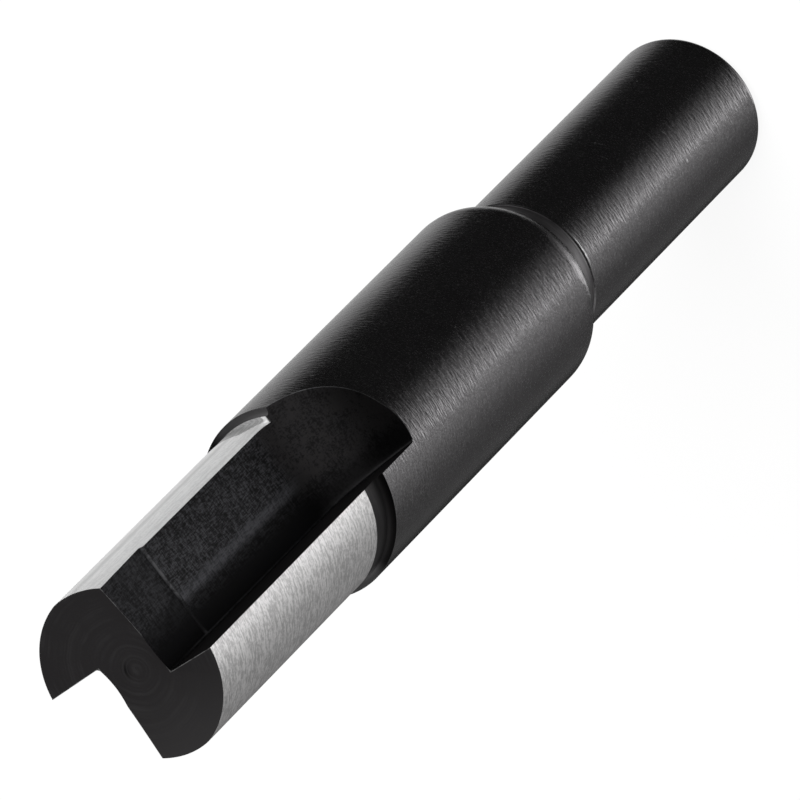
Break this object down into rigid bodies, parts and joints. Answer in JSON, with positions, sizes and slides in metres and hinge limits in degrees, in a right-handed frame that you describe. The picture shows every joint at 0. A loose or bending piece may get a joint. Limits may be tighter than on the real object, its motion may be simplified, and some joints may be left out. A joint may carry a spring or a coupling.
{
  "type": "wood milling cutter",
  "caption": "Straight wood milling cutter of black tool steel: plain round shank, thicker collar and a straight-fluted cutting head with ground lands and a dished end face.",
  "frame": {"origin": "centre of the shank's end face, which is the bottom of the standing cutter", "axes": "+Z along the cutter's axis from the shank end to the cutting end; +Y is the side of the flute seen in the picture, whose rake face looks towards -X"},
  "size_m": [0.015, 0.015, 0.0925],
  "materials": {
    "tool_steel": "satin black oxide on ground steel, bare ground lands behind the cutting edges"
  },
  "bodies": {
    "root": {"milling_cutter": "tool_steel"}
  },
  "joints": []
}
